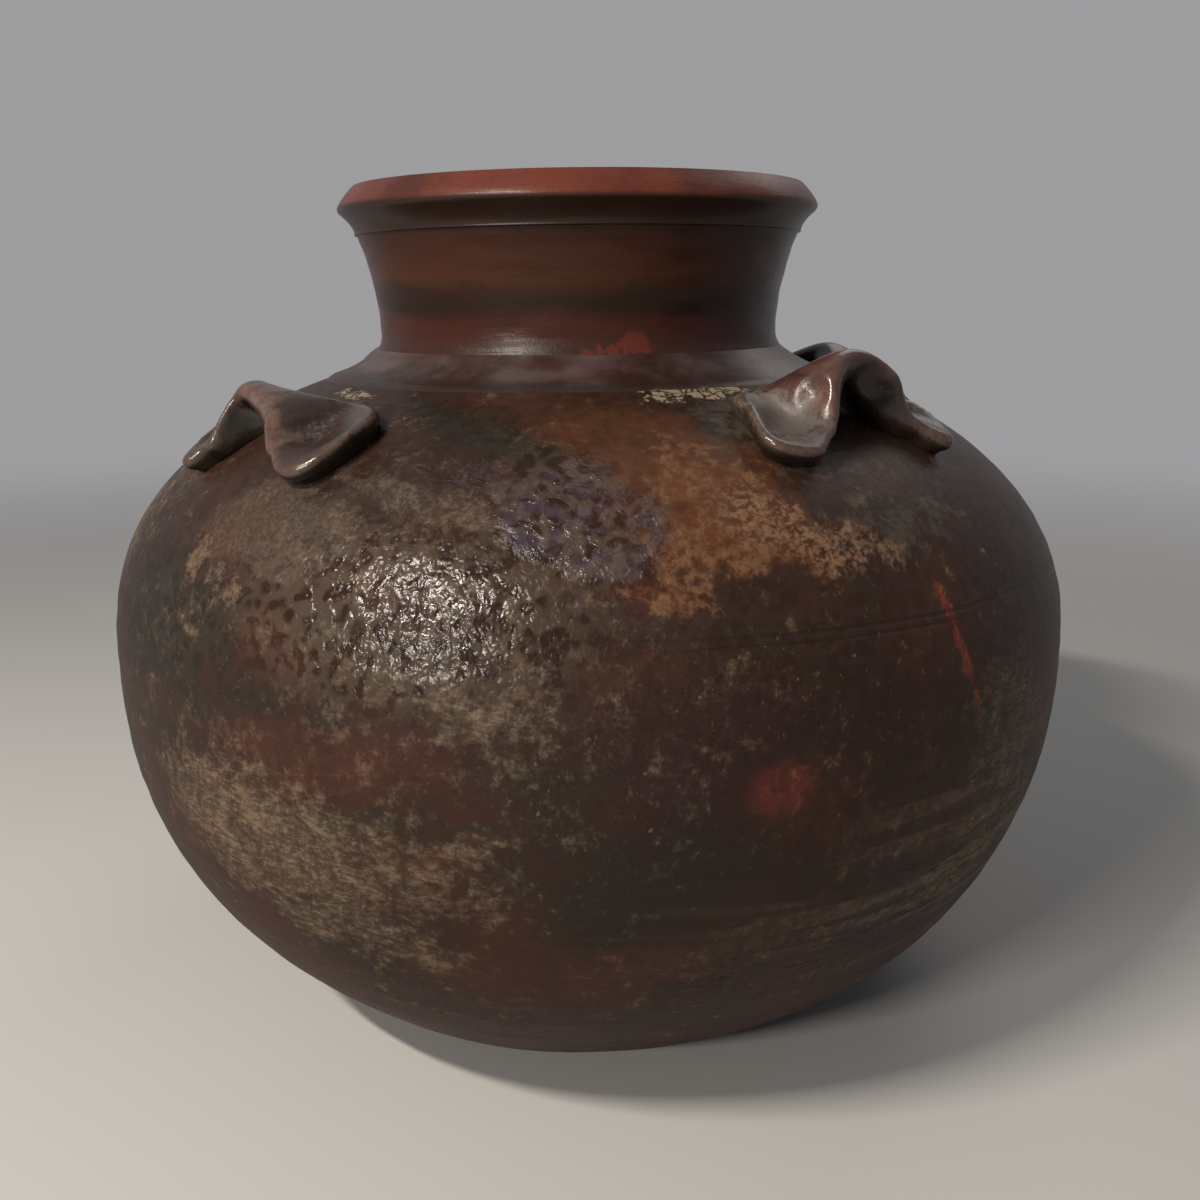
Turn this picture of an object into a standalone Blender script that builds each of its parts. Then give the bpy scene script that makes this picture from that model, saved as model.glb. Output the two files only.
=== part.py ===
"""Four-handled stoneware jar, with the clay pieces that a potter joins: a dished base, two halves of
a round body, a collar, a flared neck, a bevelled lip and four thumb-pressed strap handles.

Metres, +Z up. The origin is the middle of the underside, on the body's axis. The four handles stand
near +X, +Y, -X and -Y, and each turned piece is a profile spun about its own axis."""

import math

import bmesh
import bpy
import numpy as np

# Body: widest at belly_height, and drawn in below and above by one rounded curve each.
belly_radius = 0.200
belly_height = 0.152
base_radius_share = 0.483
lower_fullness = 2.15
shoulder_rise = 0.118
upper_fullness = 2.6
wall = 0.0085

# Base: a slab whose edge turns up into the wall.
base_thickness = 0.011
base_upturn = 0.017
base_rounding = 0.0015

# Where two turned pieces meet, a V along the edge of one lies in a groove in the other.
belly_joint_rise = 0.040
joint_tongue = 0.0038
joint_chamfer = 0.0007
joint_gap = 0.0003

# Neck: it stands in a shallow rebate, a little to one side of the body's axis.
neck_shift = 0.0042
neck_shift_turn = math.radians(229.5)
neck_wall = 0.008
neck_foot_share = 0.425
neck_waist_draw = 0.002
neck_waist_rise = 0.0067
neck_top_spread = 0.0066
neck_height = 0.051
neck_flare = 1.8
seat_depth = 0.003
neck_tongue = 0.0028

# Collar: the roll of clay smoothed round the neck's foot.
collar_width = 0.019
collar_height = 0.0058
collar_edge = 0.0012
collar_sweep = 2.2

# Lip: flares out past the neck, with a bevelled outer face up to its crest.
lip_ledge = 0.0009
lip_overhang = 0.0078
lip_edge_rise = 0.0098
lip_crest_overhang = 0.0016
lip_height = 0.019
lip_edge_round = 0.0012
lip_inside_share = 0.25
lip_bevel_share = 0.80

# Handles: a strap whose two ends are pressed down with the thumb, and whose middle stands up as a
# thick crown. Depth and set-up are up the slope, height and lip are out from the shoulder's face.
handle_seat_share = 0.71
handle_half_span = 0.049
crown_half_width = 0.0245
crown_height = 0.028
crown_depth = 0.0105
crown_set_up = 0.0060
crown_thickness = 0.0140
crown_back_thickness = 0.010
leg_thickness = 0.0095
leg_flare = 0.004
leg_side_share = 0.72
back_side_share = 0.32
back_corner_share = 0.28
hole_side_share = 0.55
hole_corner_share = 0.45
leg_lean_share = 0.45
pad_foot = 0.0145
pad_front = 0.0230
pad_back = 0.025
pad_lip = 0.0125
pad_feather = 0.0055
pad_nose_share = 0.80
pad_sink = 0.001
pad_undercut = 0.0045
press_share = 0.5
thumb_depth = 0.0062

# A pad's outline, row by row: the share of the way from the leg's foot to the pad's end, and the shares
# of its front and of its back that are reached there.
pad_rows = (
    (0.14, 0.76, 0.97),
    (0.34, 0.91, 0.88),
    (0.56, 1.00, 0.76),
    (0.76, 0.98, 0.60),
    (0.92, 0.80, 0.42),
    (1.00, 0.42, 0.18),
)

# The handles were set by hand: where each stands round the body, how it is turned on the slope, how
# steeply its crown falls to the back, and its sizes against the ones above.
handle_turns = {
    "handle_front_right": math.radians(3.5),
    "handle_back_right": math.radians(84.5),
    "handle_back_left": math.radians(182.5),
    "handle_front_left": math.radians(269.5),
}
handle_tilts = {
    "handle_front_right": math.radians(-3),
    "handle_back_right": math.radians(3),
    "handle_back_left": math.radians(-2),
    "handle_front_left": math.radians(4),
}
crown_rolls = {
    "handle_front_right": math.radians(37),
    "handle_back_right": math.radians(26),
    "handle_back_left": math.radians(22),
    "handle_front_left": math.radians(16),
}
seat_shares = {
    "handle_front_right": 0.985,
    "handle_back_right": 1.0,
    "handle_back_left": 1.01,
    "handle_front_left": 1.062,
}
crown_shares = {
    "handle_front_right": 1.05,
    "handle_back_right": 0.86,
    "handle_back_left": 0.92,
    "handle_front_left": 0.74,
}
middle_shares = {
    "handle_front_right": -0.32,
    "handle_back_right": -0.12,
    "handle_back_left": -0.08,
    "handle_front_left": -0.58,
}

# The left and right side of each handle: the reach of its leg, how far the crown's corner stands out,
# the corner's height, and the reach of its pad.
side_shares = {
    "handle_front_right": ((1.14, 0.75, 1.0, 1.01), (0.66, 0.55, 0.97, 0.71)),
    "handle_back_right": ((0.95, 0.55, 1.0, 0.95), (0.74, 0.60, 1.0, 0.92)),
    "handle_back_left": ((0.95, 0.60, 1.0, 0.97), (0.90, 0.50, 1.0, 0.95)),
    "handle_front_left": ((0.74, 1.30, 1.0, 0.69), (0.88, 0.75, 0.82, 1.06)),
}

# How finely the forms are drawn.
turn_steps = 48
wall_steps = 11
curve_steps = 5
leg_steps = 9
outline_samples = 2000
section_corners = 12
section_squareness = 0.72
cut_overrun = 0.004
merge_distance = 0.00001
smooth_angle = math.radians(38)

# Colour and roughness of the fired surface of each piece.
glazes = {
    "base": ((0.060, 0.026, 0.016), 0.62),
    "lower_wall": ((0.034, 0.016, 0.011), 0.46),
    "shoulder": ((0.040, 0.022, 0.015), 0.36),
    "collar": ((0.036, 0.017, 0.012), 0.34),
    "neck": ((0.052, 0.017, 0.011), 0.38),
    "lip": ((0.130, 0.034, 0.022), 0.48),
}
handle_glaze = ((0.046, 0.024, 0.018), 0.32)

base_radius = belly_radius * base_radius_share
neck_foot_radius = belly_radius * neck_foot_share
neck_waist_radius = neck_foot_radius - neck_waist_draw
neck_top_radius = neck_foot_radius + neck_top_spread
collar_radius = neck_foot_radius + collar_width
lip_radius = neck_top_radius + lip_overhang
lip_crest_radius = neck_top_radius + lip_crest_overhang
handle_seat_radius = belly_radius * handle_seat_share
shoulder_height = belly_height + shoulder_rise
seat_height = shoulder_height - seat_depth
lower_depth = belly_height / (1 - (base_radius / belly_radius) ** 2) ** (1 / lower_fullness)
upper_depth = shoulder_rise / (1 - (neck_foot_radius / belly_radius) ** 2) ** (1 / upper_fullness)
throat_radius = neck_foot_radius - neck_wall
rebate_radius = neck_foot_radius + joint_gap


def clear_scene():
    for obj in list(bpy.data.objects):
        bpy.data.objects.remove(obj, do_unlink=True)
    for group in list(bpy.data.collections):
        bpy.data.collections.remove(group)


def new_collection(name):
    group = bpy.data.collections.new(name)
    bpy.context.scene.collection.children.link(group)
    return group


def clay(name, color, roughness):
    material = bpy.data.materials.new(name)
    material.use_nodes = True
    shader = material.node_tree.nodes["Principled BSDF"]
    shader.inputs["Base Color"].default_value = (*color, 1)
    shader.inputs["Roughness"].default_value = roughness
    shader.inputs["Metallic"].default_value = 0
    material.diffuse_color = (*color, 1)
    return material


def outline_at(turn):
    """Point and outward normal, as radius and height, on the body's outer face. Turn runs from -90
    degrees at the bottom pole, through 0 at the belly, to 90 degrees at the top pole."""
    turn = np.asarray(turn, float)
    upper = turn > 0
    depth = np.where(upper, upper_depth, lower_depth)
    fullness = np.where(upper, upper_fullness, lower_fullness)
    share = np.abs(np.sin(turn)) ** (2 / fullness)
    radius = belly_radius * np.cos(turn)
    height = belly_height + np.sign(turn) * depth * share
    across = 2 * np.cos(turn) / belly_radius
    along = np.sign(turn) * fullness * share ** (fullness - 1) / depth
    size = np.hypot(across, along)
    return np.stack([radius, height], -1), np.stack([across / size, along / size], -1)


def turn_at_height(height):
    rise = height - belly_height
    if rise > 0:
        return math.asin((rise / upper_depth) ** (upper_fullness / 2))
    return -math.asin((-rise / lower_depth) ** (lower_fullness / 2))


def turn_at_radius(radius):
    return math.acos(radius / belly_radius)


def shoulder_height_at(radius):
    return belly_height + upper_depth * (1 - (radius / belly_radius) ** 2) ** (1 / upper_fullness)


def turn_of_inner_height(height):
    """Where the inner face of the lower wall reaches a height."""
    turns = np.linspace(turn_at_height(0), 0, outline_samples)
    points, normals = outline_at(turns)
    return float(np.interp(height, (points - wall * normals)[:, 1], turns))


def wall_lines(high_turn, low_turn, steps):
    """Evenly spaced points down the outer face, and the points one wall inside them."""
    turns = np.linspace(high_turn, low_turn, outline_samples)
    points, _ = outline_at(turns)
    travel = np.append(0, np.cumsum(np.linalg.norm(np.diff(points, axis=0), axis=1)))
    outer, normals = outline_at(np.interp(np.linspace(0, travel[-1], steps + 1), travel, turns))
    return outer, outer - wall * normals


def wall_joint(turn, side):
    """The edge of a wall at a joint, from its outer face to its inner one. Side is 1 for the piece
    above the joint, whose tongue points down, and -1 for the piece below it."""
    point, normal = outline_at(turn)
    up = np.array([-normal[1], normal[0]])
    clearance = joint_gap * math.hypot(wall / 2, joint_tongue) / (wall / 2)
    start = point + side * up * clearance / 2
    return [
        start + side * up * joint_chamfer,
        start - normal * joint_chamfer,
        start - normal * wall / 2 - up * joint_tongue,
        start - normal * wall,
    ]


def bezier(points, steps):
    """Points on the curve of two, three or four control points, its ends included."""
    curve = []
    for t in np.linspace(0, 1, steps + 1):
        row = [np.array(point, float) for point in points]
        while len(row) > 1:
            row = [(1 - t) * first + t * second for first, second in zip(row, row[1:])]
        curve.append(row[0])
    return curve


def turned(name, profile, group, closed=True, parent=None):
    """Spins a profile of (radius, height) points about Z. It runs down its outer side."""
    mesh = bpy.data.meshes.new(name)
    edges = [(i, i + 1) for i in range(len(profile) - 1)]
    if closed:
        edges.append((len(profile) - 1, 0))
    mesh.from_pydata([(radius, 0, height) for radius, height in profile], edges, [])
    obj = bpy.data.objects.new(name, mesh)
    obj.parent = parent
    group.objects.link(obj)
    screw = obj.modifiers.new("Spin", "SCREW")
    screw.steps = turn_steps
    screw.render_steps = turn_steps
    screw.use_merge_vertices = True
    screw.merge_threshold = merge_distance
    return obj


def cut(obj, cutter):
    boolean = obj.modifiers.new("Cut by " + cutter.name, "BOOLEAN")
    boolean.operation = "DIFFERENCE"
    boolean.object = cutter


def base_profile():
    """The slab that the jar stands on, its edge turned up to begin the wall."""
    joint_turn = turn_at_height(base_upturn)
    rim = wall_joint(joint_turn, -1)
    _, inner = wall_lines(joint_turn, turn_of_inner_height(base_thickness), curve_steps)
    outer, _ = wall_lines(joint_turn, turn_at_height(base_rounding), curve_steps)
    foot, _ = outline_at(turn_at_height(0))
    inside = [(0, base_thickness), *inner[:0:-1], *rim[::-1]]
    return [*inside, *outer[1:], (foot[0] - base_rounding, 0), (0, 0)]


def lower_wall_profile():
    """The bowl-shaped half of the body, grooved at its top edge and tongued at its bottom edge."""
    high_turn = turn_at_height(belly_height + belly_joint_rise)
    low_turn = turn_at_height(base_upturn)
    outer, inner = wall_lines(high_turn, low_turn, wall_steps)
    top = wall_joint(high_turn, -1)
    bottom = wall_joint(low_turn, 1)
    return [top[0], *outer[1:-1], *bottom, *inner[-2:0:-1], *top[:0:-1]]


def shoulder_lines():
    """The outer and inner faces of the shoulder, from inside the mouth down to the belly joint."""
    mouth_turn = turn_at_radius(throat_radius - neck_shift - cut_overrun)
    return wall_lines(mouth_turn, turn_at_height(belly_height + belly_joint_rise), wall_steps)


def shoulder_profile():
    """The domed half of the body. The neck's rebate and throat are cut out of its top."""
    outer, inner = shoulder_lines()
    bottom = wall_joint(turn_at_height(belly_height + belly_joint_rise), 1)
    return [*outer[:-1], *bottom, *inner[-2::-1]]


def skin_profile():
    """What handles and collar are cut to, so that they lie on the shoulder: its outer face and the
    gap over it, filled down to the belly joint."""
    outer, inner = shoulder_lines()
    skin = outer + (outer - inner) * joint_gap / wall
    return [(0, skin[0][1]), *skin, (0, skin[-1][1])]


def neck_seat_profile():
    """The rebate that the neck's foot stands in, and the throat below it."""
    above = seat_depth + collar_height
    return [
        (0, above),
        (rebate_radius, above),
        (rebate_radius, 0),
        (throat_radius, 0),
        (throat_radius, -wall - neck_height),
        (0, -wall - neck_height),
    ]


def neck_profile():
    """The flared neck, up from the rebate. Its top edge is a tongue that the lip sits on."""
    collar_top = seat_depth + collar_height
    waist = collar_top + neck_waist_rise
    top = seat_depth + neck_height
    flare = np.linspace(1, 0, wall_steps - curve_steps + 1)
    foot = np.linspace(0, 1, curve_steps - 1)
    upper = []
    for t in flare:
        radius = neck_waist_radius + (neck_top_radius - neck_waist_radius) * t**neck_flare
        upper.append((radius, waist + (top - waist) * t))
    lower = []
    for t in foot[1:]:
        radius = neck_waist_radius + (neck_foot_radius - neck_waist_radius) * t**2
        lower.append((radius, waist - neck_waist_rise * t))
    outer = [*upper, *lower, (neck_foot_radius, joint_gap)]
    inner = [(radius - neck_wall, height) for radius, height in outer[::-1]]
    return [*outer, *inner, (neck_top_radius - neck_wall / 2, top + neck_tongue)]


def collar_profile():
    """The roll round the neck's foot: thick at the neck and thin at its outer edge. It reaches under
    the shoulder's face, which then trims it."""
    steps = curve_steps + 1
    top = []
    for step in range(steps + 1):
        share = 1 - step / steps
        radius = collar_radius + (rebate_radius - collar_radius) * share
        thickness = collar_edge + (collar_height - collar_edge) * share**collar_sweep
        top.append((radius, shoulder_height_at(radius) - seat_height + thickness))
    low = shoulder_height_at(collar_radius) - seat_height - cut_overrun
    return [*top, (collar_radius, low), (rebate_radius, low)]


def lip_profile():
    """The lip: a ledge over the neck, a flare out to its edge, a bevel up to its crest, and a round
    inside. A groove in its underside fits the neck's tongue."""
    clearance = joint_gap * math.hypot(neck_wall / 2, neck_tongue) / (neck_wall / 2)
    joint = seat_depth + neck_height + clearance
    inside = neck_top_radius - neck_wall
    top = joint + lip_height
    edge = joint + lip_edge_rise
    bend_radius = lip_crest_radius + (lip_radius - lip_crest_radius) * lip_bevel_share
    bend_height = edge + lip_edge_round + (top - edge) * (1 - lip_bevel_share) * 2
    bevel_line = [(lip_crest_radius, top), (bend_radius, bend_height), (lip_radius, edge + lip_edge_round)]
    ledge = neck_top_radius + lip_ledge
    flare_line = [(lip_radius, edge - lip_edge_round), (ledge, joint + lip_edge_rise / 2), (ledge, joint)]
    groove = [(neck_top_radius, joint), (neck_top_radius - neck_wall / 2, joint + neck_tongue)]
    hollow_radius = inside + (lip_crest_radius - inside) * lip_inside_share
    hollow_line = [(inside, joint), (hollow_radius, top), (lip_crest_radius, top)]
    bevel = bezier(bevel_line, curve_steps - 1)
    flare = bezier(flare_line, curve_steps - 1)
    hollow = bezier(hollow_line, curve_steps)
    return [*bevel, *flare, *groove, *hollow[:-1]]


def shoulder_table(seat_radius):
    """Travel up the shoulder from a seat radius, with the points and normals there."""
    turns = np.linspace(0, turn_at_radius(throat_radius), outline_samples)
    points, normals = outline_at(turns)
    travel = np.append(0, np.cumsum(np.linalg.norm(np.diff(points, axis=0), axis=1)))
    return travel - np.interp(turn_at_radius(seat_radius), turns, travel), points, normals


def on_shoulder(table, along, up, over):
    """A point given by its way round the shoulder, up its slope and out from its face."""
    travel, points, normals = table
    radius, height, out, rise = (np.interp(up, travel, column) for column in (*points.T, *normals.T))
    angle = along / radius
    reach = radius + over * out
    return (reach * math.cos(angle), reach * math.sin(angle), height + over * rise)


def smooth_step(t):
    t = min(max(t, 0), 1)
    return t * t * (3 - 2 * t)


def mix(first, second, share):
    return first + (second - first) * share


def rounded(wave):
    """A sine or cosine drawn out, so that the strap's section is a square with round corners."""
    return math.copysign(abs(wave) ** section_squareness, wave)


def strap_edges(name, side):
    """The strap's outer front, outer back, inner front and inner back edges, from the crown's middle to
    the foot of a leg. Their points are ways along the shoulder, up its slope and over its face."""
    reach_share, corner_share, corner_height_share, _ = side_shares[name][0 if side < 0 else 1]
    middle = crown_half_width * middle_shares[name]
    reach = crown_half_width * reach_share
    hole_reach = reach - leg_thickness
    height = crown_height * crown_shares[name]
    back_height = height - crown_depth * math.tan(crown_rolls[name])
    hole_height = height - crown_thickness
    back_hole_height = back_height - crown_back_thickness
    crown_back = crown_set_up + crown_depth
    corner = corner_share
    back_corner = corner_share * back_corner_share
    hole_corner = corner_share * hole_corner_share
    hole_foot = pad_undercut - pad_foot
    rows = (
        (crown_set_up, height, reach, -pad_foot, pad_lip, corner, leg_side_share),
        (crown_back, back_height, reach, pad_back, pad_feather, back_corner, back_side_share),
        (crown_set_up, hole_height, hole_reach, hole_foot, -pad_sink, hole_corner, hole_side_share),
        (crown_back, back_hole_height, hole_reach, pad_back, -pad_sink, back_corner, back_side_share),
    )
    edges = []
    for start, top, leg, foot, low, corner_way, rise in rows:
        points = [
            (middle, start, top),
            (mix(middle, side * leg, corner_way), start, top * corner_height_share),
            (side * leg, mix(start, foot, leg_lean_share), mix(low, top, rise)),
            (side * leg, foot, low),
            (side * (reach + leg_flare), foot, low),
        ]
        edges.append(bezier(points, leg_steps))
    return edges


def half_strap(name, side):
    """Stations from the crown's middle to a pad's end. Each holds its four corners, and how far the
    thumb has pressed it. A pad's underside is drawn in under its rim."""
    edges = strap_edges(name, side)
    stations = []
    for step in range(leg_steps + 1):
        press = smooth_step((step / leg_steps - press_share) / (1 - press_share))
        stations.append(([edge[step] for edge in edges], press))
    foot = edges[0][-1][0]
    end = side * handle_half_span * side_shares[name][0 if side < 0 else 1][-1]
    for share, front_share, back_share in pad_rows:
        along = mix(foot, end, share)
        front = -pad_front * front_share
        back = pad_back * back_share
        rim = pad_lip * mix(1, pad_nose_share, share**2)
        back_rim = mix(pad_feather, pad_lip * pad_nose_share, share)
        drawn_in = along - side * pad_undercut * share
        corners = [
            (along, front, rim),
            (along, back, back_rim),
            (drawn_in, front + pad_undercut, -pad_sink),
            (drawn_in, back, -pad_sink),
        ]
        stations.append((corners, 1 - share**2))
    return stations


def strap_section(table, station, tilt):
    """The strap's rim of points at a station, with its top hollowed where the thumb pressed it."""
    corners, press = station
    outer_front, outer_back, inner_front, inner_back = (np.array(corner) for corner in corners)
    rim = []
    for corner in range(section_corners):
        angle = 2 * math.pi * corner / section_corners
        back = (1 - rounded(math.cos(angle))) / 2
        level = (1 + rounded(math.sin(angle))) / 2
        inner = mix(inner_front, inner_back, back)
        outer = mix(outer_front, outer_back, back)
        outer[-1] -= thumb_depth * press * math.sin(math.pi * back)
        along, up, over = mix(inner, outer, level)
        rim.append(on_shoulder(table, along, up + along * math.tan(tilt), over))
    return rim


def strap_handle(name, group):
    """A handle standing on +X, as one closed strap lofted through its sections."""
    table = shoulder_table(handle_seat_radius * seat_shares[name])
    left = half_strap(name, -1)
    right = half_strap(name, 1)
    work = bmesh.new()
    rims = []
    for station in [*left[:0:-1], *right]:
        section = strap_section(table, station, handle_tilts[name])
        rims.append([work.verts.new(point) for point in section])
    for before, after in zip(rims, rims[1:]):
        for corner in range(section_corners):
            following = (corner + 1) % section_corners
            work.faces.new((before[corner], before[following], after[following], after[corner]))
    work.faces.new(rims[0])
    work.faces.new(rims[-1])
    bmesh.ops.recalc_face_normals(work, faces=work.faces)
    mesh = bpy.data.meshes.new(name)
    work.to_mesh(mesh)
    work.free()
    obj = bpy.data.objects.new(name, mesh)
    group.objects.link(obj)
    return obj


def finish(obj, material):
    """Keeps the object's shape as its modifiers make it, shades it smooth and gives it its clay."""
    graph = bpy.context.evaluated_depsgraph_get()
    mesh = bpy.data.meshes.new_from_object(obj.evaluated_get(graph))
    obj.modifiers.clear()
    obj.data = mesh
    mesh.name = obj.name
    mesh.shade_smooth()
    mesh.set_sharp_from_angle(angle=smooth_angle)
    mesh.materials.clear()
    mesh.materials.append(material)


def build():
    clear_scene()
    parts = new_collection("four_handled_jar")
    cutters = new_collection("cutters")

    # The neck stands beside the middle of the dome, so it leans with the slope under its collar.
    slope = (shoulder_height - shoulder_height_at(collar_radius)) / (collar_radius - neck_foot_radius)
    lean = math.atan(slope) * neck_shift / collar_radius
    neck_axis = bpy.data.objects.new("neck_axis", None)
    parts.objects.link(neck_axis)
    sideways = (math.cos(neck_shift_turn), math.sin(neck_shift_turn))
    neck_axis.location = (neck_shift * sideways[0], neck_shift * sideways[1], seat_height)
    neck_axis.rotation_euler = (-lean * sideways[1], lean * sideways[0], 0)

    skin = turned("shoulder_skin", skin_profile(), cutters, closed=False)
    seat = turned("neck_seat", neck_seat_profile(), cutters, closed=False, parent=neck_axis)
    pieces = {
        "base": turned("base", base_profile(), parts, closed=False),
        "lower_wall": turned("lower_wall", lower_wall_profile(), parts),
        "shoulder": turned("shoulder", shoulder_profile(), parts),
        "collar": turned("collar", collar_profile(), parts, parent=neck_axis),
        "neck": turned("neck", neck_profile(), parts, parent=neck_axis),
        "lip": turned("lip", lip_profile(), parts, parent=neck_axis),
    }
    cut(pieces["shoulder"], seat)
    cut(pieces["collar"], skin)
    for name, turn in handle_turns.items():
        handle = strap_handle(name, parts)
        handle.rotation_euler.z = turn
        cut(handle, skin)
        pieces[name] = handle
    for cutter in (skin, seat):
        cutter.hide_render = True
        cutter.display_type = "WIRE"
    bpy.context.view_layer.update()

    for name, (color, roughness) in glazes.items():
        finish(pieces[name], clay(name + "_glaze", color, roughness))
    handle_color, handle_roughness = handle_glaze
    for name in handle_turns:
        finish(pieces[name], clay(name + "_glaze", handle_color, handle_roughness))
    cutters.hide_viewport = True


build()
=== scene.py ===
"""Dresses the four-handled stoneware jar: finely turned clay pieces, hand-pressed handles and the
stained, pitted glaze of a wood firing. Metres, +Z up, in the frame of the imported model."""

import math

import bpy
import numpy as np
from mathutils import Matrix, Vector, noise


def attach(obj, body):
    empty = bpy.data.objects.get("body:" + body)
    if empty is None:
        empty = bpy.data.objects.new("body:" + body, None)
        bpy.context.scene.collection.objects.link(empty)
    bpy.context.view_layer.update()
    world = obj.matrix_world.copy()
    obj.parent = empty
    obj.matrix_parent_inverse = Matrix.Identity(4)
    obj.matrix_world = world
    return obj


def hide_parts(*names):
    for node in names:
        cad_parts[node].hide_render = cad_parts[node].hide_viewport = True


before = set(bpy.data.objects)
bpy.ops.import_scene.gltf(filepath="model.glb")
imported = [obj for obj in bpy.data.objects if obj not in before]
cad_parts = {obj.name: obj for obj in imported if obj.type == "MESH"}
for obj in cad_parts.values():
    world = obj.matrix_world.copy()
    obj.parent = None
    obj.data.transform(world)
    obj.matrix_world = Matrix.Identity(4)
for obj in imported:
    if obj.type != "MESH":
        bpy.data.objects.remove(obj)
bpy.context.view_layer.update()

# Body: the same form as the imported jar's, drawn more finely.
belly_radius = 0.2
belly_height = 0.152
base_radius = 0.0966
lower_fullness = 2.15
shoulder_rise = 0.118
upper_fullness = 2.6
wall = 0.0085
base_thickness = 0.011
base_upturn = 0.017
base_rounding = 0.0022
belly_joint_rise = 0.04
neck_shift = 0.0042
neck_shift_turn = math.radians(229.5)
neck_wall = 0.008
neck_foot_radius = 0.085
neck_waist_radius = 0.083
neck_waist_rise = 0.0067
neck_top_radius = 0.0916
neck_height = 0.051
neck_flare = 1.8
seat_depth = 0.003
collar_radius = 0.104
collar_height = 0.0058
collar_edge = 0.0009
collar_sweep = 2.2
lip_ledge = 0.0009
lip_radius = 0.0994
lip_edge_rise = 0.0098
lip_crest_radius = 0.0932
lip_height = 0.019

# The collar's hidden underside: how far its toe reaches out and sinks into the shoulder, how far it tucks
# in and down behind the toe, and how far it sinks at the neck's foot.
collar_toe_reach = 0.0034
collar_toe_sink = 0.0006
collar_tuck_in = 0.004
collar_tuck_down = 0.002
collar_foot_sink = 0.001

# Soft edges, as control points off a corner of the outline: how far each stands out and how far up.
collar_rounding = ((0.0016, -0.0008),)
lip_bevel = ((-0.0012, 0.004), (0, 0.001))
lip_rim = ((0.0003, -0.0002), (-0.001, -0.0014))
lip_flare = ((0.0012, 0.0048), (0, 0.0012), (0.0002, 0.0007))
lip_step = ((0.0006, 0.0001), (-0.0008, 0))
lip_hollow = ((0.0006, -0.003), (0.0036, 0))

# The base closes round a small ring on the axis. The upturn's inner face is drawn for a few rings, down
# to the floor's edge. The shoulder's rim stands clear of the throat.
axis_ring_radius = 0.004
base_inner_rings = 6
base_floor_radius = 0.09
throat_clearance = 0.001

# How finely the rings are drawn.
turn_sides = 180
profile_samples = 3000
shoulder_rings = 72
lower_wall_rings = 96
base_rings = 10
collar_rings = 20
neck_rings_up = 60
neck_rings_foot = 9
crease_angle = math.radians(40)

shoulder_height = belly_height + shoulder_rise
seat_height = shoulder_height - seat_depth
lower_depth = belly_height / (1 - (base_radius / belly_radius) ** 2) ** (1 / lower_fullness)
upper_depth = shoulder_rise / (1 - (neck_foot_radius / belly_radius) ** 2) ** (1 / upper_fullness)
throat_radius = neck_foot_radius - neck_wall


def shoulder_height_at(radius):
    return belly_height + upper_depth * (1 - (radius / belly_radius) ** 2) ** (1 / upper_fullness)


neck_slope = (shoulder_height - shoulder_height_at(collar_radius)) / (collar_radius - neck_foot_radius)
neck_lean = math.atan(neck_slope) * neck_shift / collar_radius
neck_way = (math.cos(neck_shift_turn), math.sin(neck_shift_turn))


def body_outline(turn):
    """Points and outward normals of the body's outer face. Turn runs from -90 degrees at the bottom
    pole, through 0 at the belly, to 90 degrees at the top pole."""
    upper = turn > 0
    depth = np.where(upper, upper_depth, lower_depth)
    fullness = np.where(upper, upper_fullness, lower_fullness)
    share = np.abs(np.sin(turn)) ** (2 / fullness)
    points = np.stack([belly_radius * np.cos(turn), belly_height + np.sign(turn) * depth * share], -1)
    across = 2 * np.cos(turn) / belly_radius
    along = np.sign(turn) * fullness * share ** (fullness - 1) / depth
    normals = np.stack([across, along], -1)
    return points, normals / np.linalg.norm(normals, axis=1, keepdims=True)


def turn_at_height(height):
    """The turn at which the body's outline reaches a height."""
    rise = height - belly_height
    if rise > 0:
        return math.asin((rise / upper_depth) ** (upper_fullness / 2))
    return -math.asin((-rise / lower_depth) ** (lower_fullness / 2))


def wall_lines(high_turn, low_turn, steps):
    """Evenly spaced points down the outer face, and the points one wall inside them."""
    turns = np.linspace(high_turn, low_turn, profile_samples)
    points, _ = body_outline(turns)
    travel = np.append(0, np.cumsum(np.linalg.norm(np.diff(points, axis=0), axis=1)))
    outer, normals = body_outline(np.interp(np.linspace(0, travel[-1], steps + 1), travel, turns))
    return outer, outer - wall * normals


def curve_through(points, steps):
    """Points of the curve that a row of control points draws, its ends included."""
    curve = []
    for t in np.linspace(0, 1, steps + 1):
        row = [np.array(point, float) for point in points]
        while len(row) > 1:
            row = [(1 - t) * first + t * second for first, second in zip(row, row[1:])]
        curve.append(row[0])
    return curve


def points_from(corner, steps):
    """Control points at steps (outward, upward) from a corner of an outline."""
    return [(corner[0] + outward, corner[1] + upward) for outward, upward in steps]


# Modelling by hand: rings of clay, drawn up one after another.
def select_only(obj):
    bpy.ops.object.select_all(action="DESELECT")
    obj.select_set(True)
    bpy.context.view_layer.objects.active = obj


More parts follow.
